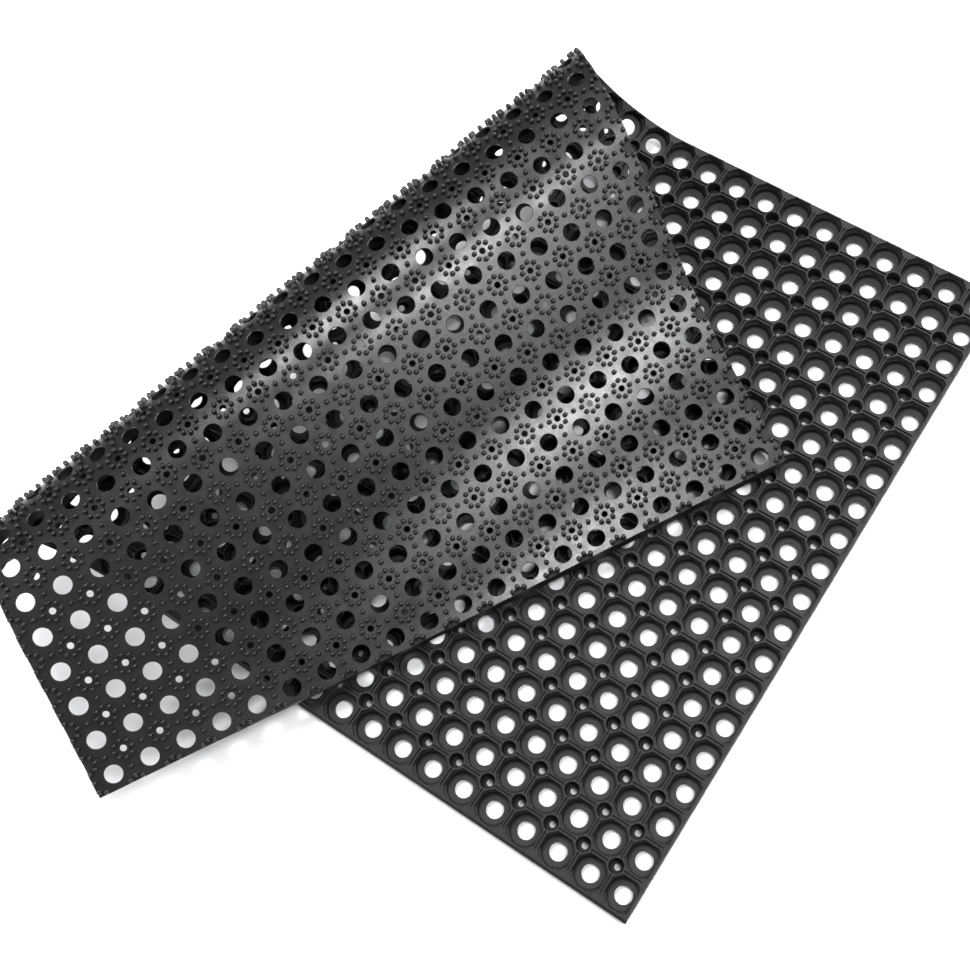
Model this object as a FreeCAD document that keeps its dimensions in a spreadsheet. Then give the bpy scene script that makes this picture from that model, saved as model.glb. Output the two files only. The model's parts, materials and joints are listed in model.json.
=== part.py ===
import FreeCAD, Part
import math
import os

# Moulded rubber ring mat, stored folded over on itself along a slanting line.
#
# The mat is drawn flat first: X runs against its length, Y across its width and Z up,
# with the studs on Z = 0 and the open cells on top. One corner of the leaf that stays on
# the floor is the flat drawing's zero point. Fold lines cut the mat into regions, and each
# region is then swung up about the fold lines before it, so that the last region lies
# upside down on the first. Each region has three moulded layers: the studs that it stands
# on, the perforated web, and the cell walls.

NODE_FOLDER = "parts"

DRIVING_SIZES = [
    ("pitch", 40.0),
    ("cells_along", 30),
    ("cells_across", 20),
    ("end_margin", 16.8),
    ("side_margin", 23.0),
    ("side_bevel", 3.8),
    ("stud_height", 5.0),
    ("web_thickness", 2.5),
    ("wall_height", 15.5),
    ("wall_thickness", 5.0),
    ("end_rim", 3.0),
    ("side_rim", 1.7),
    ("corner_reach", 9.6),
    ("drain_hole", 19.5),
    ("junction_hole", 7.4),
    ("ring_bore", 14.8),
    ("stud_clear_hole", 31.0),
    ("edge_notch_radius", 8.8),
    ("opening_skin", 1.5),
    ("fold_slant", 15.6),
    ("bend_turn", 30.0),
    ("bend_count", 7),
    ("rest_turn", 15.0),
    ("rest_gap", 1.0),
    ("seam_gap", 0.4),
    ("fold_start", 642.7),
    ("strip_width_1", 76.0),
    ("strip_width_2", 64.0),
    ("strip_width_3", 34.0),
    ("strip_width_4", 24.0),
    ("strip_width_5", 34.0),
    ("strip_width_6", 62.0),
    ("strip_width_7", 214.0),
    ("floor_face_cells_in", 7),
]


def make_sheet(doc):
    """Puts the driving sizes in a spreadsheet, one alias for each."""
    sheet = doc.addObject("Spreadsheet::Sheet", "Sizes")
    for row, (alias, value) in enumerate(DRIVING_SIZES, start=1):
        sheet.set("A%d" % row, alias)
        sheet.set("B%d" % row, str(value))
        sheet.setAlias("B%d" % row, alias)
    doc.recompute()
    return sheet


doc = FreeCAD.newDocument("RingMat")
sheet = make_sheet(doc)

pitch = float(sheet.pitch)
cells_along = int(sheet.cells_along)
cells_across = int(sheet.cells_across)
end_margin = float(sheet.end_margin)
side_margin = float(sheet.side_margin)
slant = math.radians(float(sheet.fold_slant))
bend_turn = float(sheet.bend_turn)
rest_turn = float(sheet.rest_turn)
web_middle = float(sheet.stud_height) + float(sheet.web_thickness) / 2
top_height = float(sheet.stud_height) + float(sheet.web_thickness) + float(sheet.wall_height)
mat_length = (cells_along - 1) * pitch + 2 * end_margin
mat_width = (cells_across - 1) * pitch + 2 * side_margin

# Directions in the flat mat: square to the fold lines, and along them.
ACROSS_FOLD = FreeCAD.Vector(-math.cos(slant), math.sin(slant), 0)
ALONG_FOLD = FreeCAD.Vector(math.sin(slant), math.cos(slant), 0)


# ---- fold lines -------------------------------------------------------------------------


def fold_turns():
    """Turn at each fold line in degrees: the loop's bends, then the flap settling back."""
    settling = (int(sheet.bend_count) * bend_turn - 180) / rest_turn
    return [bend_turn] * int(sheet.bend_count) + [-rest_turn] * round(settling)


def last_strip_width(widths, turns):
    """Width that brings the flap down to rest, cells against cells, on the leaf."""
    rise = 0.0
    heading = 0.0
    for width, turn in zip(widths, turns):
        heading += turn
        rise += width * math.sin(math.radians(heading))
    heading += turns[len(widths)]
    rest_height = 2 * (top_height - web_middle) + float(sheet.rest_gap)
    return (rest_height - rise) / math.sin(math.radians(heading))


def fold_line_places(turns):
    """Distance of each fold line from the leaf's corner, square to the fold."""
    widths = [float(sheet.get("strip_width_%d" % n)) for n in range(1, len(turns) - 1)]
    widths.append(last_strip_width(widths, turns))
    places = [float(sheet.fold_start)]
    for width in widths:
        places.append(places[-1] + width)
    return places


turns = fold_turns()
fold_lines = fold_line_places(turns)


def fold_rotation(line, turn):
    """Swing about one fold line at the middle of the web, the flat mat's own frame."""
    centre = ACROSS_FOLD * line + FreeCAD.Vector(0, 0, web_middle)
    nowhere = FreeCAD.Vector(0, 0, 0)
    return FreeCAD.Placement(nowhere, FreeCAD.Rotation(ALONG_FOLD, turn), centre)


def region_placements():
    """One placement for each region, the leaf first and the flap last."""
    placements = [FreeCAD.Placement()]
    for line, turn in zip(fold_lines, turns):
        placements.append(placements[-1].multiply(fold_rotation(line, turn)))
    return placements


# ---- flat outlines and openings ------------------------------------------------------------


def flat_point(along, across):
    """A point of the flat drawing from distances along and across the mat."""
    return FreeCAD.Vector(-along, across, 0)


def fold_distance(point):
    return point.dot(ACROSS_FOLD)


def closed_wire(points):
    return Part.makePolygon(points + [points[0]])


def circle_wire(centre, radius):
    return Part.Wire([Part.makeCircle(radius, centre)])


def lattice_point(cells_in, cells_over):
    """A flat point counted in cells from the middle of the corner cell."""
    return flat_point(end_margin + cells_in * pitch, side_margin + cells_over * pitch)


def cell_centres():
    """Middle of every cell, row after row across the mat."""
    return [lattice_point(i, j) for i in range(cells_along) for j in range(cells_across)]


def junctions():
    """Every point where four cells meet."""
    return [
        lattice_point(i + 0.5, j + 0.5)
        for i in range(cells_along - 1)
        for j in range(cells_across - 1)
    ]


def edge_junctions():
    """Points half a pitch outside the edge cells, where the lattice is trimmed."""
    last_in = cells_along - 0.5
    last_over = cells_across - 0.5
    places = []
    for i in range(cells_along + 1):
        places += [lattice_point(i - 0.5, -0.5), lattice_point(i - 0.5, last_over)]
    for j in range(1, cells_across):
        places += [lattice_point(-0.5, j - 0.5), lattice_point(last_in, j - 0.5)]
    return places


def clip_to_box(points, low, high):
    """Cuts a convex outline back to a box, side by side."""
    for axis, limit, keep_above in (
        (0, low.x, True),
        (0, high.x, False),
        (1, low.y, True),
        (1, high.y, False),
    ):
        kept = []
        for here, there in zip(points, points[1:] + points[:1]):
            here_in = (here[axis] >= limit) == keep_above
            there_in = (there[axis] >= limit) == keep_above
            if here_in:
                kept.append(here)
            if here_in != there_in:
                share = (limit - here[axis]) / (there[axis] - here[axis])
                kept.append(here + (there - here) * share)
        points = kept
    return points


def well_wire(centre):
    """Eight-sided well of one cell, cut back by the rim in the edge cells."""
    half = (pitch - float(sheet.wall_thickness)) / 2
    corner = pitch - float(sheet.corner_reach) * math.sqrt(2) - half
    corners = [
        (half, -corner),
        (half, corner),
        (corner, half),
        (-corner, half),
        (-half, corner),
        (-half, -corner),
        (-corner, -half),
        (corner, -half),
    ]
    points = [centre + FreeCAD.Vector(x, y, 0) for x, y in corners]
    end_rim = float(sheet.end_rim)
    side_rim = float(sheet.side_bevel) + float(sheet.side_rim)
    low = flat_point(mat_length - end_rim, side_rim)
    high = flat_point(end_rim, mat_width - side_rim)
    return closed_wire(clip_to_box(points, low, high))


def plain_outline(side_inset):
    """The whole mat's outline as a face, its long sides drawn in by an inset."""
    far_side = mat_width - side_inset
    corners = [flat_point(mat_length, side_inset), flat_point(0, side_inset)]
    corners += [flat_point(0, far_side), flat_point(mat_length, far_side)]
    return Part.Face(closed_wire(corners))


def notched_outline():
    """The outline of the mat's base, with a round notch at every edge junction."""
    radius = float(sheet.edge_notch_radius)
    notches = [Part.Face(circle_wire(place, radius)) for place in edge_junctions()]
    return plain_outline(0.0).cut(Part.makeCompound(notches)).Faces[0]


def band_face(near, far):
    """Band of the flat plane between two distances square to the fold."""
    reach = ALONG_FOLD * (mat_length + mat_width)
    corners = [ACROSS_FOLD * near - reach, ACROSS_FOLD * far - reach]
    corners += [ACROSS_FOLD * far + reach, ACROSS_FOLD * near + reach]
    return Part.Face(closed_wire(corners))


def openings_with_span(wires):
    """Each opening with the nearest and furthest it reaches square to the fold."""
    spans = []
    for wire in wires:
        distances = [fold_distance(point) for point in wire.discretize(Number=25)]
        spans.append((wire, min(distances), max(distances)))
    return spans


def wires_inside(openings, near, far):
    """Keeps the openings that lie whole between two fold distances."""
    skin = float(sheet.opening_skin)
    return [wire for wire, low, high in openings if low > near + skin and high < far - skin]


def round_openings(places, diameter):
    """Round openings of one size at many places."""
    radius = float(sheet.get(diameter)) / 2
    return openings_with_span([circle_wire(place, radius) for place in places])


def with_openings(outline, openings):
    """The face inside an outline, with openings cut through it."""
    holes = [Part.Wire(opening.reversed()) for opening in openings]
    return Part.Face([outline.OuterWire] + holes)


# ---- layers and regions ----------------------------------------------------------------------

centres = cell_centres()
joins = junctions()
LAYERS = [
    {
        "name": "studs",
        "base": 0.0,
        "thickness": "stud_height",
        "outline": notched_outline(),
        "openings": round_openings(centres, "stud_clear_hole")
        + round_openings(joins, "junction_hole"),
    },
    {
        "name": "web",
        "base": float(sheet.stud_height),
        "thickness": "web_thickness",
        "outline": notched_outline(),
        "openings": round_openings(centres, "drain_hole")
        + round_openings(joins, "junction_hole"),
    },
    {
        "name": "cells",
        "base": float(sheet.stud_height) + float(sheet.web_thickness),
        "thickness": "wall_height",
        "outline": plain_outline(float(sheet.side_bevel)),
        "openings": openings_with_span([well_wire(c) for c in centres])
        + round_openings(joins, "ring_bore"),
    },
]


def seam_setback(layer, turn):
    """How far a layer stops short of a fold line, so that it clears its neighbour."""
    bottom = layer["base"] - web_middle
    top = bottom + float(sheet.get(layer["thickness"]))
    lean = math.tan(math.radians(turn) / 2)
    return max(0.0, top * lean, bottom * lean) + float(sheet.seam_gap) / 2


def layer_plan(layer, region):
    """Plan of one layer in one region: its outline with every whole opening in it."""
    near = -mat_width
    far = mat_length + mat_width
    if region > 0:
        near = fold_lines[region - 1] + seam_setback(layer, turns[region - 1])
    if region < len(fold_lines):
        far = fold_lines[region] - seam_setback(layer, turns[region])
    pieces = layer["outline"].common(band_face(near, far)).Faces
    outline = max(pieces, key=lambda face: face.Area)
    openings = wires_inside(layer["openings"], near, far)
    return with_openings(outline, openings)


def region_name(region):
    if region == 0:
        return "leaf"
    if region == len(fold_lines):
        return "flap"
    return "fold_%d" % region


def make_layer(layer, region, placement):
    """One layer of one region: its plan, and the extrusion that gives it its thickness."""
    label = "%s_%s" % (region_name(region), layer["name"])
    plan = doc.addObject("Part::Feature", "plan_" + label)
    plan.Shape = layer_plan(layer, region)
    body = doc.addObject("Part::Extrusion", label)
    body.Label = label
    body.Base = plan
    body.DirMode = "Custom"
    body.Dir = FreeCAD.Vector(0, 0, 1)
    body.Solid = True
    body.setExpression("LengthFwd", "Sizes." + layer["thickness"])
    lift = FreeCAD.Placement(FreeCAD.Vector(0, 0, layer["base"]), FreeCAD.Rotation())
    body.Placement = placement.multiply(lift)
    return body


placements = region_placements()
parts = [
    make_layer(layer, region, placement)
    for region, placement in enumerate(placements)
    for layer in LAYERS
]
doc.recompute()


# ---- origin: middle of the folded mat, on the floor ---------------------------------------------


def centre_on_floor():
    """Moves the whole folded mat so that its box is centred over the origin."""
    box = FreeCAD.BoundBox()
    for part in parts:
        box.add(part.Shape.optimalBoundingBox())
    move = FreeCAD.Vector(-(box.XMin + box.XMax) / 2, -(box.YMin + box.YMax) / 2, 0)
    shift = FreeCAD.Placement(move, FreeCAD.Rotation())
    for part in parts:
        part.Placement = shift.multiply(part.Placement)
    return shift


shift = centre_on_floor()
doc.recompute()


# ---- checks and files -----------------------------------------------------------------------------


def check_document():
    for item in doc.Objects:
        if "Invalid" in item.State or "Error" in item.State:
            raise RuntimeError("%s did not recompute: %s" % (item.Label, item.State))
    for part in parts:
        if part.Shape.isNull() or not part.Shape.isValid():
            raise RuntimeError("%s has no valid shape" % part.Label)
        if len(part.Shape.Solids) != 1:
            raise RuntimeError("%s is not one solid" % part.Label)


def print_joints():
    """Prints each fold line's place and axis in the row's frame, for the record."""
    for number, (line, turn) in enumerate(zip(fold_lines, turns), start=1):
        place = ACROSS_FOLD * line + ALONG_FOLD * (mat_width / 2)
        place.z = web_middle
        axis_end = shift.multiply(placements[number]).multVec(place)
        axis_start = shift.multiply(placements[number]).multVec(place - ALONG_FOLD)
        axis = axis_end - axis_start
        print("fold line", number, "turn", turn, "at", tuple(axis_end), "axis", tuple(axis))


def print_floor_face():
    """Prints a point of the leaf's underside, midway between two cells, for the record."""
    cells_in = int(sheet.floor_face_cells_in)
    print("floor face at", tuple(shift.multVec(lattice_point(cells_in + 0.5, cells_in))))


check_document()
print_joints()
print_floor_face()
print("flat size", mat_length, mat_width, top_height)
os.makedirs(NODE_FOLDER, exist_ok=True)
for part in parts:
    part.Shape.exportStep(os.path.join(NODE_FOLDER, part.Label + ".step"))
print("wrote", len(parts), "parts")
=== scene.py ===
import json
import math

import bpy
import numpy as np
from mathutils import Matrix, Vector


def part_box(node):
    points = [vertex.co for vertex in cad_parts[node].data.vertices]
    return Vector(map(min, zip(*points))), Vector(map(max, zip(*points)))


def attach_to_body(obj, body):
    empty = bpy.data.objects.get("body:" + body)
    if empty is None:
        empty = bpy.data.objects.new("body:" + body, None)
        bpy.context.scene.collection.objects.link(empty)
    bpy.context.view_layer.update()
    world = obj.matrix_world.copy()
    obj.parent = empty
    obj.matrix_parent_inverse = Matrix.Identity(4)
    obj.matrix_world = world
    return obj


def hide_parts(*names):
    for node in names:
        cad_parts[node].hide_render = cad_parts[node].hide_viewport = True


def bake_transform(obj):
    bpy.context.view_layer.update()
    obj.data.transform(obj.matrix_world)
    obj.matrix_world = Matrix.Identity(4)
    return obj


# Moulded rubber ring mat, folded over on itself along a slanting line.
#
# Every cell is drawn in the flat mat, in millimetres, as four mirrored quarters. The flat
# mat has X against its length, Y across its width and Z up from the stud tips, with zero
# at one corner. fold_over() then carries the flat points round the nine fold lines, with
# an arc at each line. Each zone between fold lines is its own set of pieces.

MM = 0.001

# ---- sizes of the mat, in millimetres ---------------------------------------------------------

PITCH = 40.0
CELLS_ALONG = 30
CELLS_ACROSS = 20
HALF = PITCH / 2
END_MARGIN = 16.8
SIDE_MARGIN = 23.0
SIDE_BEVEL = 3.8

WEB_BOTTOM = 5.0
WEB_TOP = 7.5
WEB_MIDDLE = (WEB_BOTTOM + WEB_TOP) / 2
TOP = 23.0

WELL_HALF = 17.5
RIB_OUTER = 18.9
GROOVE_FLOOR = 19.5
END_RIM = 3.0
RING_OUTER = 9.6
BORE_TOP = 8.3
BORE_MIDDLE = 7.7
BORE_MIDDLE_HEIGHT = 12.0
BORE_FOOT = 7.4
BORE_LIP_DROP = 0.4
PAD_DROP = 0.6
PAD_RIM = RING_OUTER - 0.6
PAD_FOOT = RING_OUTER - 1.0
EDGE_ROUND = 0.3

DRAIN_RADIUS = 9.75
DRAIN_CHAMFER = 0.4
JUNCTION_RADIUS = 3.7
NOTCH_RADIUS = 8.8

# Ceilings stand just clear of the web's top, and reach a little past the cut below them.
CEILING_LIFT = 0.05
CEILING_OVERLAP = 0.3

STUD_RADIUS = 2.9
STUD_CIRCLE = 9.7
STUD_SIDES = 8
STUDS_PER_RING = 8

# How far inside the mat's outline a stud's middle has to be, as a share of the stud's radius.
STUD_INSET = 0.95

# Radius and height of a stud's rings, from inside the web down to the domed tip.
STUD_PROFILE = [
    (STUD_RADIUS, WEB_BOTTOM + 0.3),
    (2.85, 2.4),
    (2.1, 0.75),
    (1.0, 0.1),
]

# Radius on the arcs, height, and how far the loop has turned from a circle to the octagon.
WELL_PROFILE = [
    (15.2, WEB_TOP, 0.0),
    (16.6, 8.2, 0.0),
    (17.2, 9.8, 0.0),
    (17.4, 14.5, 0.0),
    (17.4, 14.8, 0.5),
    (17.4, 17.2, 0.5),
    (17.4, 17.5, 1.0),
    (17.4, 22.7, 1.0),
]

# Height of the mat's outer face, and its share of the way from the upper outline to the foot.
OUTER_PROFILE = [
    (TOP, 0.0),
    (14.0, 0.04),
    (9.6, 0.12),
    (8.3, 0.5),
    (WEB_TOP, 1.0),
]

# ---- how tightly the mat bends at each fold line: half the width of its arc ------------------

ARC_HALF_WIDTHS = [38.0, 38.0, 22.0, 12.0, 12.0, 22.0, 40.0, 45.0, 45.0]
RIGID_RUN = 5.0

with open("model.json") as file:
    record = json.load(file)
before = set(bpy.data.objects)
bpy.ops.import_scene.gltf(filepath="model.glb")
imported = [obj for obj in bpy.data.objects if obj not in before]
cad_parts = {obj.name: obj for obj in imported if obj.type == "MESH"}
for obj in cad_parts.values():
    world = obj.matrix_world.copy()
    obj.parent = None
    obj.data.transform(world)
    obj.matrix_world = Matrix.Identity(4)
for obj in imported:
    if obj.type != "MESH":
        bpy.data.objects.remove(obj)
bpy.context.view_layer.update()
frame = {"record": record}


# ---- fold lines, from the record's joints ----------------------------------------------------


def unit(vector):
    return vector / np.linalg.norm(vector)


def read_joints():
    """Fold lines in order, as (place in mm, turn in radians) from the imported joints."""
    joints = sorted(frame["record"]["behaviour"]["joints"], key=lambda j: j["name"])
    places = [np.array(joint["pos_m"]) / MM for joint in joints]
    turns = [math.radians(sum(joint["range_deg"])) for joint in joints]
    along = -unit(np.array(joints[0]["axis"]))
    return places, turns, along


FOLD_PLACES, FOLD_TURNS, ALONG_FOLD = read_joints()
ACROSS_FOLD = np.array([-ALONG_FOLD[1], ALONG_FOLD[0], 0.0])
UP = np.array([0.0, 0.0, 1.0])
LOW_CORNER, HIGH_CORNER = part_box("leaf_web")
FLAT_ZERO = np.array([HIGH_CORNER.x / MM, LOW_CORNER.y / MM, 0.0])
REGIONS = ["leaf"] + ["fold_%d" % n for n in range(1, len(FOLD_TURNS))] + ["flap"]


def heading(turned):
    """Direction in the plane square to the folds, as (across, up), after turning so far."""
    return np.array([math.cos(turned), math.sin(turned)])


def fold_line_distances():
    """Distance of each fold line in the flat mat, square to the folds."""
    distances = [float(FOLD_PLACES[0] @ ACROSS_FOLD)]
    for here, there in zip(FOLD_PLACES, FOLD_PLACES[1:]):
        distances.append(distances[-1] + float(np.linalg.norm(there - here)))
    return distances


def fold_line_heights():
    """Each fold line in the folded mat, as (across, up)."""
    return [np.array([place @ ACROSS_FOLD, place[2]]) for place in FOLD_PLACES]


LINES = fold_line_distances()
CORNERS = fold_line_heights()
TURNED = [sum(FOLD_TURNS[:n]) for n in range(len(FOLD_TURNS) + 1)]


def zone_ends():
    """Where each zone gives way to the next: the leaf, the nine bends and the flap."""
    ends = [LINES[0] - ARC_HALF_WIDTHS[0] - RIGID_RUN]
    for n in range(len(LINES) - 1):
        low = LINES[n] + ARC_HALF_WIDTHS[n]
        high = LINES[n + 1] - ARC_HALF_WIDTHS[n + 1]
        ends.append((low + high) / 2)
    ends.append(LINES[-1] + ARC_HALF_WIDTHS[-1] + RIGID_RUN)
    return ends


def straight_run(distance, region):
    """Web middle line and its direction for flat distances inside one region."""
    line = max(region - 1, 0)
    direction = heading(TURNED[region])
    middle = CORNERS[line] + np.outer(distance - LINES[line], direction)
    return middle, np.tile(direction, (len(distance), 1))


def arc_run(distance, line):
    """The same on the arc that rounds one fold line."""
    half = ARC_HALF_WIDTHS[line]
    turn = FOLD_TURNS[line]
    radius = half / math.tan(turn / 2)
    before = heading(TURNED[line])
    start = CORNERS[line] - half * before
    centre = start + radius * np.array([-before[1], before[0]])
    share = (distance - LINES[line] + half) / (2 * half)
    angle = TURNED[line] + turn * share
    direction = np.column_stack([np.cos(angle), np.sin(angle)])
    middle = centre + radius * np.column_stack([direction[:, 1], -direction[:, 0]])
    return middle, direction


def web_line(distance):
    """Where the middle of the web goes, and which way it heads, for flat distances."""
    middle, direction = straight_run(distance, 0)
    for region in range(1, len(REGIONS)):
        there = distance > LINES[region - 1]
        middle[there], direction[there] = straight_run(distance[there], region)
    for line, half in enumerate(ARC_HALF_WIDTHS):
        near = np.abs(distance - LINES[line]) < half
        middle[near], direction[near] = arc_run(distance[near], line)
    return middle, direction


def fold_over(flat):
    """Carries flat points, in mm, to their places in the folded mat, in metres."""
    row = flat + FLAT_ZERO
    along = row @ ALONG_FOLD
    lift = row[:, 2] - WEB_MIDDLE
    middle, direction = web_line(row @ ACROSS_FOLD)
    across = middle[:, 0] - lift * direction[:, 1]
    height = middle[:, 1] + lift * direction[:, 0]
    folded = np.outer(across, ACROSS_FOLD) + np.outer(along, ALONG_FOLD)
    return (folded + np.outer(height, UP)) * MM


# ---- quarters of a cell ----------------------------------------------------------------------
#
# A quarter reaches from the cell's middle to a corner junction. Its two far sides are each
# "inner", where the next cell follows, "end", at a short edge, or "side", at a long edge.

BASE_LIMIT = {"inner": HALF, "end": END_MARGIN, "side": SIDE_MARGIN}
TOP_LIMIT = {"inner": HALF, "end": END_MARGIN, "side": SIDE_MARGIN - SIDE_BEVEL}
RIB_LIMIT = {"inner": RIB_OUTER, "end": END_MARGIN, "side": SIDE_MARGIN - SIDE_BEVEL}
WELL_LIMIT = {"inner": WELL_HALF, "end": END_MARGIN - END_RIM, "side": WELL_HALF}

# Where the octagon's straight side stops, and where the rib stops against the ring.
WELL_CORNER = PITCH - RING_OUTER * math.sqrt(2) - WELL_HALF
RIB_END = HALF - math.sqrt(RING_OUTER ** 2 - (HALF - RIB_OUTER) ** 2)


class Patch:
    """Points and faces that grow strip by strip."""

    def __init__(self):
        self.points = []
        self.faces = []

    def add(self, points):
        first = len(self.points)
        self.points += [tuple(float(v) for v in point) for point in points]
        return list(range(first, len(self.points)))

    def strip(self, lower, upper):
        """Quads between two rows of as many points. With the upper row above, they face right."""
        a = self.add(lower)
        b = self.add(upper)
        for n in range(len(a) - 1):
            self.faces.append((a[n], a[n + 1], b[n + 1], b[n]))

    def fan(self, rim, tip, facing_up):
        a = self.add(rim)
        centre = self.add([tip])[0]
        for n in range(len(a) - 1):
            face = (a[n], a[n + 1], centre)
            self.faces.append(face if facing_up else face[::-1])

    def mirrored(self, sign_x, sign_y):
        points = np.array(self.points) * [sign_x, sign_y, 1.0]
        if sign_x * sign_y > 0:
            return points, self.faces
        return points, [face[::-1] for face in self.faces]


def at_height(loop, height):
    return [(x, y, height) for x, y in loop]


def octagon_quarter():
    """Nine points of the well's eight-sided top, from the X side round to the Y side."""
    side = [(WELL_HALF, WELL_CORNER * share) for share in (0.0, 0.5)]
    slope = np.linspace(0, 1, 5)
    slant = [
        (WELL_HALF + (WELL_CORNER - WELL_HALF) * s, WELL_CORNER + (WELL_HALF - WELL_CORNER) * s)
        for s in slope
    ]
    return np.array(side + slant + [(y, x) for x, y in side[::-1]])


OCTAGON = octagon_quarter()
SPOKES = OCTAGON / np.linalg.norm(OCTAGON, axis=1)[:, None]


def well_loop(radius, mix, sides, grow=0.0):
    """One loop of the well's wall, cut back where a short edge's rim stands."""
    loop = SPOKES * radius * (1 - mix) + OCTAGON * mix
    loop = loop * (1 + grow / WELL_HALF)
    limit = [WELL_LIMIT[side] + grow for side in sides]
    return np.minimum(loop, limit)


def junction_arc(radius, limits):
    """Five points round the corner junction, between the quarter's two far sides."""
    start = -math.acos((limits[0] - HALF) / radius)
    end = -math.pi - math.asin((limits[1] - HALF) / radius)
    angles = np.linspace(start, end, 5)
    return [(HALF + radius * math.cos(a), HALF + radius * math.sin(a)) for a in angles]


def base_loop(sides, spare=0.0):
    """Outline of one quarter of the web, with its share of the junction hole or notch."""
    limits = [BASE_LIMIT[side] for side in sides]
    inner = sides == ("inner", "inner")
    arc = junction_arc((JUNCTION_RADIUS if inner else NOTCH_RADIUS) + spare, limits)
    low_y = arc[0][1] / 2
    low_x = arc[-1][0] / 2
    return [(limits[0], 0.0), (limits[0], low_y)] + arc + [(low_x, limits[1]), (0.0, limits[1])]


def circle_quarter(radius):
    angles = np.linspace(0, math.pi / 2, 9)
    return [(radius * math.cos(a), radius * math.sin(a)) for a in angles]


def web_quarter(sides):
    """Perforated web: top, underside, drain hole's wall, and walls where it is cut."""
    patch = Patch()
    outer = base_loop(sides)
    hole = circle_quarter(DRAIN_RADIUS)
    lip = circle_quarter(DRAIN_RADIUS + DRAIN_CHAMFER)
    middle = [((a + c) / 2, (b + d) / 2) for (a, b), (c, d) in zip(outer, lip)]
    rows = [
        at_height(outer, WEB_TOP),
        at_height(middle, WEB_TOP),
        at_height(lip, WEB_TOP),
        at_height(hole, WEB_TOP - DRAIN_CHAMFER),
        at_height(hole, WEB_BOTTOM + DRAIN_CHAMFER),
        at_height(lip, WEB_BOTTOM),
        at_height(middle, WEB_BOTTOM),
        at_height(outer, WEB_BOTTOM),
    ]
    for here, there in zip(rows, rows[1:]):
        patch.strip(here, there)
    first = 0 if sides[0] != "inner" else 2
    last = len(outer) if sides[1] != "inner" else len(outer) - 2
    cut = outer[first:last]
    patch.strip(at_height(cut, WEB_BOTTOM), at_height(cut, WEB_TOP))
    return patch


def well_quarter(sides):
    """Well wall from the web up to the top of the rib."""
    patch = Patch()
    loops = [(well_loop(radius, mix, sides), height) for radius, height, mix in WELL_PROFILE]
    loops.append((well_loop(0.0, 1.0, sides, EDGE_ROUND), TOP))
    for (lower, low), (upper, high) in zip(loops, loops[1:]):
        patch.strip(at_height(upper, high), at_height(lower, low))
    return patch


def swapped(loop):
    return [(y, x, z) for x, y, z in loop]


def rib_half(patch, sides, flip):
    """Top of the rib along one far side, with its half of the groove between neighbours."""
    side = sides[1] if flip else sides[0]
    rim = well_loop(0.0, 1.0, sides, EDGE_ROUND)
    inner = [tuple(point[::-1]) for point in rim[::-1][:3]] if flip else [tuple(p) for p in rim[:3]]
    reaches = [0.0, RIB_END / 2, RIB_END]
    rib = RIB_LIMIT[side]
    border = TOP_LIMIT[side]
    rows = [at_height(inner, TOP), [(rib, y, TOP) for y in reaches]]
    if side == "inner":
        rows.append([(rib, y, GROOVE_FLOOR) for y in reaches])
        rows.append([(border, y, GROOVE_FLOOR) for y in reaches])
    for upper, lower in zip(rows, rows[1:]):
        join(patch, lower, upper, flip)
    if side == "inner":
        low = [(border, RIB_END, GROOVE_FLOOR), (rib, RIB_END, GROOVE_FLOOR)]
        high = [(border, RIB_END, TOP), (rib, RIB_END, TOP)]
        join(patch, high, low, flip)


def join(patch, lower, upper, flip):
    """A strip, or its mirror image about the quarter's diagonal."""
    if flip:
        patch.strip(swapped(upper), swapped(lower))
    else:
        patch.strip(lower, upper)


def spread_limit(side, spread):
    """Outer limit part of the way from the mat's upper outline to its foot."""
    return TOP_LIMIT[side] + spread * (BASE_LIMIT[side] - TOP_LIMIT[side])


def pad_crossing(radius, side):
    """Where a circle about the junction crosses the mat's upper outline."""
    return HALF - math.sqrt(radius ** 2 - (HALF - TOP_LIMIT[side]) ** 2)


def outer_wall(patch, sides, flip):
    """The mat's outer face above the web: upright at an end, flared at the foot of a side."""
    side = sides[1] if flip else sides[0]
    other = sides[0] if flip else sides[1]
    if side == "inner":
        return
    pad_rim = pad_crossing(PAD_RIM, side)
    pad_foot = pad_crossing(PAD_FOOT, side)
    rows = []
    for height, spread in OUTER_PROFILE:
        out = spread_limit(side, spread)
        drop = PAD_DROP if height == TOP else 0.0
        upper_part = [(out, y, height) for y in (0.0, RIB_END / 2, RIB_END, pad_rim)]
        pad_part = [(out, y, height - drop) for y in (pad_foot, spread_limit(other, spread))]
        rows.append(upper_part + pad_part)
    for upper, lower in zip(rows, rows[1:]):
        join(patch, lower, upper, flip)


def wall_quarter(sides):
    """Well wall, rib tops with their half of each groove, and the mat's outer face."""
    patch = well_quarter(sides)
    for flip in (False, True):
        rib_half(patch, sides, flip)
        outer_wall(patch, sides, flip)
    return patch


def ring_circle(radius, edge):
    """Quarter circle about the junction, cut back to the mat's upper outline."""
    angles = np.linspace(-math.pi / 2, -math.pi, 9)
    circle = [(HALF + radius * math.cos(a), HALF + radius * math.sin(a)) for a in angles]
    return [(min(x, edge[0]), min(y, edge[1])) for x, y in circle]


def ring_outline(sides, edge):
    """Outline of the top round the junction, between the grooves and the wells' rims."""
    rib = [RIB_LIMIT[side] for side in sides]
    rim = [tuple(point) for point in well_loop(0.0, 1.0, sides, EDGE_ROUND)[2:7]]
    return (
        [(edge[0], RIB_END), (rib[0], RIB_END)]
        + rim
        + [(RIB_END, rib[1]), (RIB_END, edge[1])]
    )


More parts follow.
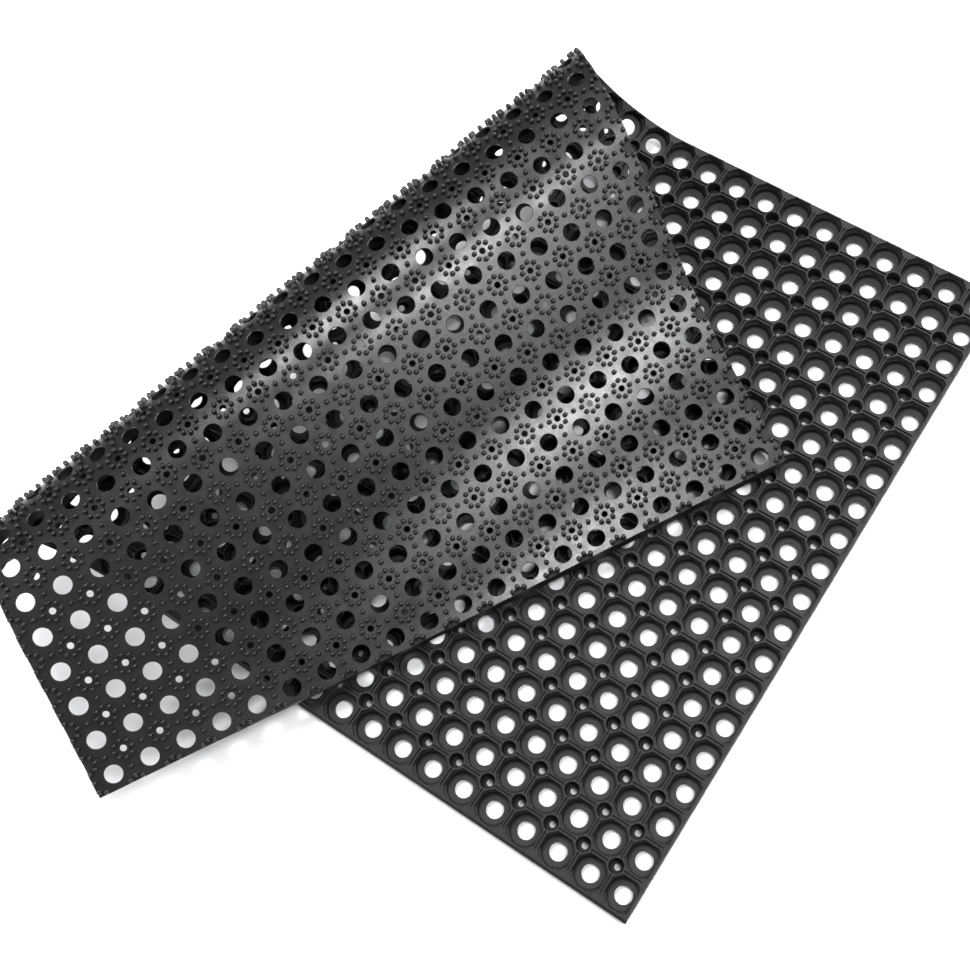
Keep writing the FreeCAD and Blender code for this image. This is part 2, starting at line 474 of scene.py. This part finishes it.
def ring_tube(outline, edge):
    """Top and bore of a ring tube, with its floor as far as the junction hole."""
    patch = Patch()
    profile = [
        (BORE_TOP, TOP),
        (BORE_TOP - EDGE_ROUND, TOP - BORE_LIP_DROP),
        (BORE_MIDDLE, BORE_MIDDLE_HEIGHT),
        (BORE_FOOT, WEB_TOP),
        (JUNCTION_RADIUS, WEB_TOP + CEILING_LIFT),
    ]
    rows = [at_height(outline, TOP)]
    rows += [at_height(ring_circle(radius, edge), height) for radius, height in profile]
    for here, there in zip(rows, rows[1:]):
        patch.strip(here, there)
    return patch


def edge_pad(outline, edge, sides):
    """Sunken flat pad in place of a ring at the mat's edge, and the ceiling of its notch."""
    patch = Patch()
    pad_height = TOP - PAD_DROP
    pad_foot = at_height(ring_circle(PAD_FOOT, edge), pad_height)
    pad_rim = at_height(ring_circle(PAD_RIM, edge), TOP)
    patch.strip(at_height(outline, TOP), pad_rim)
    patch.strip(pad_rim, pad_foot)
    patch.fan(pad_foot, (edge[0], edge[1], pad_height), True)
    foot = [BASE_LIMIT[side] for side in sides]
    ceiling = WEB_TOP + CEILING_LIFT
    notch = base_loop(sides, CEILING_OVERLAP)[2:7]
    low_notch = [(min(x, foot[0]), min(y, foot[1])) for x, y in notch]
    patch.fan(at_height(low_notch, ceiling), (foot[0], foot[1], ceiling), False)
    return patch


def ring_quarter(sides):
    """Quarter of a ring tube, or of the flat pad that takes its place at the mat's edge."""
    edge = [TOP_LIMIT[side] for side in sides]
    outline = ring_outline(sides, edge)
    if sides == ("inner", "inner"):
        return ring_tube(outline, edge)
    return edge_pad(outline, edge, sides)


# ---- studs -----------------------------------------------------------------------------------


def stud_patch():
    """One domed stud, its foot in the web's underside."""
    patch = Patch()
    angles = np.linspace(0, 2 * math.pi, STUD_SIDES + 1)
    loops = [
        [(radius * math.cos(a), radius * math.sin(a), height) for a in angles]
        for radius, height in STUD_PROFILE
    ]
    for upper, lower in zip(loops, loops[1:]):
        patch.strip(lower, upper)
    patch.fan(loops[-1], (0.0, 0.0, 0.0), False)
    return patch


def stud_places():
    """A ring of studs round every junction, and one midway between neighbouring holes."""
    length = (CELLS_ALONG - 1) * PITCH + 2 * END_MARGIN
    width = (CELLS_ACROSS - 1) * PITCH + 2 * SIDE_MARGIN
    places = []
    for i in range(-1, CELLS_ALONG):
        for j in range(-1, CELLS_ACROSS):
            along = END_MARGIN + (i + 0.5) * PITCH
            across = SIDE_MARGIN + (j + 0.5) * PITCH
            for n in range(STUDS_PER_RING):
                angle = 2 * math.pi * n / STUDS_PER_RING
                out = STUD_CIRCLE * math.cos(angle)
                over = STUD_CIRCLE * math.sin(angle)
                places.append((along + out, across + over))
            places.append((along + HALF, across))
            places.append((along, across + HALF))
    spare = STUD_RADIUS * STUD_INSET
    inside = [
        (-along, across)
        for along, across in places
        if spare < along < length - spare and spare < across < width - spare
    ]
    return np.array(inside)


# ---- the whole mat, layer by layer -----------------------------------------------------------


def side_kind(index, count, edge_kind):
    """Kinds of a cell's two opposite sides, the one towards zero first."""
    return (edge_kind if index == 0 else "inner", edge_kind if index == count - 1 else "inner")


def quarter_centres():
    """Cell centres of every quarter, gathered by the kinds of its far sides and its mirroring."""
    centres = {}
    for i in range(CELLS_ALONG):
        for j in range(CELLS_ACROSS):
            centre = (-(END_MARGIN + i * PITCH), SIDE_MARGIN + j * PITCH, 0.0)
            high_x, low_x = side_kind(i, CELLS_ALONG, "end")
            low_y, high_y = side_kind(j, CELLS_ACROSS, "side")
            for sign_x, side_x in ((1, high_x), (-1, low_x)):
                for sign_y, side_y in ((1, high_y), (-1, low_y)):
                    centres.setdefault((side_x, side_y, sign_x, sign_y), []).append(centre)
    return centres


def place_quarters(make_quarter):
    """Every quarter of every cell, as one array of points and one of faces."""
    points = []
    faces = []
    start = 0
    for (side_x, side_y, sign_x, sign_y), centres in quarter_centres().items():
        patch, patch_faces = make_quarter((side_x, side_y)).mirrored(sign_x, sign_y)
        new_points, new_faces = repeat(patch, patch_faces, np.array(centres), start)
        points.append(new_points)
        faces.append(new_faces)
        start += len(new_points)
    return np.concatenate(points), np.concatenate(faces)


def repeat(patch, patch_faces, centres, start):
    """Copies of a patch at many centres. A triangle repeats its last corner to fill four."""
    four = np.array([face if len(face) == 4 else face + face[-1:] for face in patch_faces])
    points = (patch[None, :, :] + centres[:, None, :]).reshape(-1, 3)
    steps = start + np.arange(len(centres)) * len(patch)
    return points, (four[None, :, :] + steps[:, None, None]).reshape(-1, 4)


def place_studs():
    """Every stud, as one array of points and one of faces."""
    patch, faces = stud_patch().mirrored(1, 1)
    flat = stud_places()
    places = np.column_stack([flat, np.zeros(len(flat))])
    return repeat(patch, faces, places, 0)


# ---- meshes ----------------------------------------------------------------------------------

# Points nearer than this, in millimetres, are one point.
WELD = 1e-3
SHARP_ANGLE = math.radians(40)

# Larger than any count of weld steps across the mat's width, and up its height.
WIDTH_STEPS = 4_000_000
HEIGHT_STEPS = 100_000


def weld(points, faces):
    """Joins points that coincide and drops those no face uses."""
    keys = np.round(points / WELD).astype(np.int64)
    key = (keys[:, 0] * WIDTH_STEPS + keys[:, 1]) * HEIGHT_STEPS + keys[:, 2]
    used, back = np.unique(key[faces.ravel()], return_inverse=True)
    first = np.zeros(len(used), np.int64)
    first[back] = faces.ravel()
    return points[first], back.reshape(-1, 4)


def quads_and_triangles(faces):
    """Faces with four different corners, and those with three. Any with fewer are dropped."""
    ordered = np.sort(faces, axis=1)
    repeats = (ordered[:, 1:] == ordered[:, :-1]).sum(axis=1)
    return faces[repeats == 0], faces[repeats == 1]


def as_triangles(faces):
    """Faces with one corner given twice, as three different corners in the same order."""
    triangles = []
    for face in faces.tolist():
        triangles.append([c for n, c in enumerate(face) if c != face[n - 1]])
    return np.array(triangles, np.int64).reshape(-1, 3)


def build_mesh(name, flat, faces):
    """A mesh in the folded mat, which keeps each point's flat place for its material."""
    flat, faces = weld(flat, faces)
    quads, rest = quads_and_triangles(faces)
    triangles = as_triangles(rest)
    mesh = bpy.data.meshes.new(name)
    corners = np.concatenate([quads.ravel(), triangles.ravel()])
    mesh.vertices.add(len(flat))
    mesh.vertices.foreach_set("co", fold_over(flat).astype(np.float32).ravel())
    mesh.loops.add(len(corners))
    mesh.loops.foreach_set("vertex_index", corners.astype(np.int32))
    mesh.polygons.add(len(quads) + len(triangles))
    quad_starts = np.arange(len(quads)) * 4
    triangle_starts = len(quads) * 4 + np.arange(len(triangles)) * 3
    starts = np.concatenate([quad_starts, triangle_starts])
    mesh.polygons.foreach_set("loop_start", starts.astype(np.int32))
    mesh.update(calc_edges=True)
    mesh.validate()
    place = mesh.attributes.new("flat_place", "FLOAT_VECTOR", "POINT")
    place.data.foreach_set("vector", (flat * MM).astype(np.float32).ravel())
    mesh.shade_smooth()
    mesh.set_sharp_from_angle(angle=SHARP_ANGLE)
    return mesh


def zone_faces(points, faces, near, far):
    """Faces whose middle lies between two flat distances square to the folds."""
    middles = points[faces].mean(axis=1) + FLAT_ZERO
    distance = middles @ ACROSS_FOLD
    return faces[(distance >= near) & (distance < far)]


def attach(piece, zone):
    """Rides the leaf or the flap. A piece on the arc of a fold line keeps the folded shape it was
    built in, with its transform baked into its points.
    """
    if zone == 0:
        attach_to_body(piece, REGIONS[0])
        return
    if zone > len(LINES):
        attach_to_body(piece, REGIONS[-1])
        return
    line = LINES[zone - 1]
    reach = ARC_HALF_WIDTHS[zone - 1] - RIGID_RUN
    ends = np.array([ACROSS_FOLD * (line - reach), ACROSS_FOLD * (line + reach)])
    ends[:, 2] = WEB_MIDDLE
    start, end = fold_over(ends - FLAT_ZERO)
    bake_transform(piece)


def zone_name(zone):
    if zone == 0:
        return REGIONS[0]
    if zone > len(LINES):
        return REGIONS[-1]
    return "bend_%d" % zone


def stood_for(zone, layer):
    """CAD node that a zone's piece stands for: the region past its fold line, or the leaf."""
    region = min(zone, len(REGIONS) - 1)
    return "%s_%s" % (REGIONS[region], layer)


def make_layer(title, layer, material, geometry):
    """One layer of the mat as a piece for each zone."""
    points, faces = geometry
    ends = [-math.inf] + zone_ends() + [math.inf]
    for zone, (near, far) in enumerate(zip(ends, ends[1:])):
        name = "%s_%s" % (zone_name(zone), title)
        mesh = build_mesh(name, points, zone_faces(points, faces, near, far))
        mesh.materials.append(material)
        piece = bpy.data.objects.new(name, mesh)
        bpy.context.scene.collection.objects.link(piece)
        attach(piece, zone)
        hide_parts(stood_for(zone, layer))


# ---- materials -------------------------------------------------------------------------------


# Sockets of the colour mix node, which shares one list with its other data types.
MIX_FACTOR = 0
MIX_FIRST = 6
MIX_SECOND = 7
MIX_RESULT = 2


class Nodes:
    """Short calls for building one material."""

    def __init__(self, name):
        self.material = bpy.data.materials.new(name)
        self.material.use_nodes = True
        self.tree = self.material.node_tree
        self.shader = self.tree.nodes["Principled BSDF"]

    def node(self, kind, **settings):
        made = self.tree.nodes.new(kind)
        for key, value in settings.items():
            setattr(made, key, value)
        return made

    def link(self, source, target):
        self.tree.links.new(source, target)

    def noise(self, place, scale, detail):
        made = self.node("ShaderNodeTexNoise")
        made.inputs["Scale"].default_value = scale
        made.inputs["Detail"].default_value = detail
        self.link(place, made.inputs["Vector"])
        return made.outputs["Fac"]

    def ramp(self, source, stops):
        made = self.node("ShaderNodeValToRGB")
        while len(made.color_ramp.elements) < len(stops):
            made.color_ramp.elements.new(0.5)
        for element, (place, grey) in zip(made.color_ramp.elements, stops):
            element.position = place
            element.color = (grey, grey, grey, 1.0)
        self.link(source, made.inputs["Fac"])
        return made.outputs["Color"]

    def mix(self, factor, first, second, blend="MIX"):
        made = self.node("ShaderNodeMix", data_type="RGBA", blend_type=blend)
        for index, value in ((MIX_FACTOR, factor), (MIX_FIRST, first), (MIX_SECOND, second)):
            if isinstance(value, bpy.types.NodeSocket):
                self.link(value, made.inputs[index])
            else:
                made.inputs[index].default_value = value
        return made.outputs[MIX_RESULT]

    def height_step(self, height, low, high):
        """0 below one height of the flat mat and 1 above another, in millimetres."""
        made = self.node("ShaderNodeMapRange", interpolation_type="SMOOTHSTEP")
        self.link(height, made.inputs["Value"])
        made.inputs["From Min"].default_value = low * MM
        made.inputs["From Max"].default_value = high * MM
        return made.outputs[0]

    def bump(self, height, strength, distance):
        made = self.node("ShaderNodeBump")
        made.inputs["Strength"].default_value = strength
        made.inputs["Distance"].default_value = distance * MM
        self.link(height, made.inputs["Height"])
        self.link(made.outputs["Normal"], self.shader.inputs["Normal"])


# Noise scales count features to the metre. Ramps are (place, grey) stops.
PATCH_SCALE = 35.0
PATCH_STOPS = [(0.3, 0.75), (0.7, 1.2)]
PATCH_SHARE = 0.8
DUST_SCALE = 620.0
DUST_STOPS = [(0.66, 0.0), (0.76, 0.5)]
DUST_COLOUR = (0.12, 0.12, 0.115, 1.0)
GLOSS_SCALE = 60.0
GRAIN_SCALE = 1500.0
GRAIN_DEPTH = 0.2
UPPER_ROUGHNESS = 0.62


def rubber_colour(made, place, height, colour, wear_and_highlight_colour):
    """Mottled black with specks of dust, paler at the tops of the ribs: partly rubbed wear, partly
    a painted highlight where the tops catch the light.
    """
    # Painted highlight: the rib tops are made paler, partly for real wear and partly for the light
    # they catch.
    wear_and_highlight = made.height_step(height, TOP - 1.0, TOP - 0.1)
    tone = made.mix(wear_and_highlight, (*colour, 1.0), (*wear_and_highlight_colour, 1.0))
    patchy = made.ramp(made.noise(place, PATCH_SCALE, 4.0), PATCH_STOPS)
    mottled = made.mix(PATCH_SHARE, tone, patchy, "MULTIPLY")
    dust = made.ramp(made.noise(place, DUST_SCALE, 3.0), DUST_STOPS)
    return made.mix(dust, mottled, DUST_COLOUR)


def rubber_roughness(made, place, height, roughness):
    """Uneven gloss on the underside, which gives way to a matt upper side."""
    stops = [(0.3, roughness - 0.04), (0.7, roughness + 0.06)]
    gloss = made.ramp(made.noise(place, GLOSS_SCALE, 3.0), stops)
    upper = made.height_step(height, WEB_MIDDLE, WEB_TOP)
    return made.mix(upper, gloss, (UPPER_ROUGHNESS, UPPER_ROUGHNESS, UPPER_ROUGHNESS, 1.0))


def rubber(name, colour, wear_and_highlight_colour, roughness, grain, specular):
    """Black moulded rubber with a fine grain, placed by each point's spot in the flat mat."""
    made = Nodes(name)
    place = made.node("ShaderNodeAttribute", attribute_name="flat_place").outputs["Vector"]
    apart = made.node("ShaderNodeSeparateXYZ")
    made.link(place, apart.inputs[0])
    height = apart.outputs["Z"]
    inputs = made.shader.inputs
    made.link(rubber_colour(made, place, height, colour, wear_and_highlight_colour), inputs["Base Color"])
    made.link(rubber_roughness(made, place, height, roughness), inputs["Roughness"])
    inputs["Specular IOR Level"].default_value = specular
    made.bump(made.noise(place, GRAIN_SCALE, 4.0), grain, GRAIN_DEPTH)
    return made.material


# ---- floor, light and camera -----------------------------------------------------------------


FLOOR_SIDE = 12.0
FLOOR_COLOUR = (0.86, 0.86, 0.87, 1.0)
FLOOR_ROUGHNESS = 0.6


def make_floor():
    """Plain pale floor that the mat lies on."""
    bpy.ops.mesh.primitive_plane_add(size=FLOOR_SIDE)
    floor = bpy.context.object
    floor.name = "floor"
    material = bpy.data.materials.new("pale_floor")
    material.use_nodes = True
    shader = material.node_tree.nodes["Principled BSDF"]
    shader.inputs["Base Color"].default_value = FLOOR_COLOUR
    shader.inputs["Roughness"].default_value = FLOOR_ROUGHNESS
    floor.data.materials.append(material)


WORLD_STRENGTH = 0.42

# Softboxes, each as (name, azimuth, elevation, side in metres, power in watts). The first is
# mirrored by the curve at the loop's top and the second by the slope of the flap below it.
# The last two light the floor, under the flap too.
SOFTBOX_DISTANCE = 3.0
SOFTBOXES = [
    ("loop_softbox", 140.0, 75.0, 0.5, 44.0),
    ("flap_softbox", 22.0, 67.0, 0.7, 60.0),
    ("back_softbox", 75.0, 38.0, 1.8, 100.0),
    ("front_softbox", -125.0, 28.0, 1.8, 60.0),
]


def make_softbox(name, azimuth, elevation, side, power):
    """Square soft light that faces the origin from a direction in degrees."""
    lamp = bpy.data.lights.new(name, "AREA")
    lamp.size = side
    lamp.energy = power
    light = bpy.data.objects.new(name, lamp)
    bpy.context.scene.collection.objects.link(light)
    turn = math.radians(azimuth)
    lift = math.radians(elevation)
    level = SOFTBOX_DISTANCE * math.cos(lift)
    height = SOFTBOX_DISTANCE * math.sin(lift)
    light.location = (level * math.cos(turn), level * math.sin(turn), height)
    light.rotation_euler = (math.pi / 2 - lift, 0.0, turn + math.pi / 2)


def make_world():
    """Even white studio light from all round."""
    world = bpy.data.worlds.new("studio")
    bpy.context.scene.world = world
    world.use_nodes = True
    background = world.node_tree.nodes["Background"]
    background.inputs["Color"].default_value = (1.0, 1.0, 1.0, 1.0)
    background.inputs["Strength"].default_value = WORLD_STRENGTH


def use_plain_view():
    """Shows colours as they are, so that the pale floor comes out white."""
    bpy.context.scene.view_settings.view_transform = "Standard"


# The camera's place is counted in millimetres from the drain hole at the leaf's corner.
CAMERA_PLACE = (130.0, 10.3, 1448.2)
CAMERA_RIGHT = (0.837527, 0.537965, -0.095621)
CAMERA_DOWN = (0.484264, -0.811884, -0.326089)
FOCAL_LENGTH = 50.75
SENSOR = 36.0
SIDEWAYS_SHIFT = -0.1186


def make_camera():
    """Looks down on the mat from high above the corner of the leaf."""
    camera_data = bpy.data.cameras.new("camera")
    camera_data.lens = FOCAL_LENGTH
    camera_data.sensor_width = SENSOR
    camera_data.shift_x = SIDEWAYS_SHIFT
    camera = bpy.data.objects.new("camera", camera_data)
    bpy.context.scene.collection.objects.link(camera)
    hole = FLAT_ZERO + [-END_MARGIN, SIDE_MARGIN, WEB_MIDDLE]
    right = unit(np.array(CAMERA_RIGHT))
    up = -unit(np.array(CAMERA_DOWN))
    back = np.cross(right, up)
    turned = Matrix(np.column_stack([right, up, back]).tolist()).to_4x4()
    turned.translation = ((hole + CAMERA_PLACE) * MM).tolist()
    camera.matrix_world = turned
    bpy.context.scene.camera = camera


# ---- build -----------------------------------------------------------------------------------

# Each material's second colour is the paler rib-top tone: real wear plus a painted highlight.
web_rubber = rubber(
    "web_rubber_skin",
    colour=(0.007, 0.007, 0.0073),
    wear_and_highlight_colour=(0.012, 0.012, 0.012),
    roughness=0.27,
    grain=0.3,
    specular=0.45,
)
cell_rubber = rubber(
    "cell_rubber_skin",
    colour=(0.006, 0.006, 0.0063),
    wear_and_highlight_colour=(0.012, 0.012, 0.012),
    roughness=0.5,
    grain=0.5,
    specular=0.3,
)
stud_rubber = rubber(
    "stud_rubber_skin",
    colour=(0.006, 0.006, 0.0063),
    wear_and_highlight_colour=(0.010, 0.010, 0.010),
    roughness=0.33,
    grain=0.3,
    specular=0.4,
)

make_layer("walls", "cells", cell_rubber, place_quarters(wall_quarter))
make_layer("rings", "cells", cell_rubber, place_quarters(ring_quarter))
make_layer("web_sheet", "web", web_rubber, place_quarters(web_quarter))
make_layer("stud_field", "studs", stud_rubber, place_studs())

make_floor()
make_world()
use_plain_view()
for softbox in SOFTBOXES:
    make_softbox(*softbox)
make_camera()
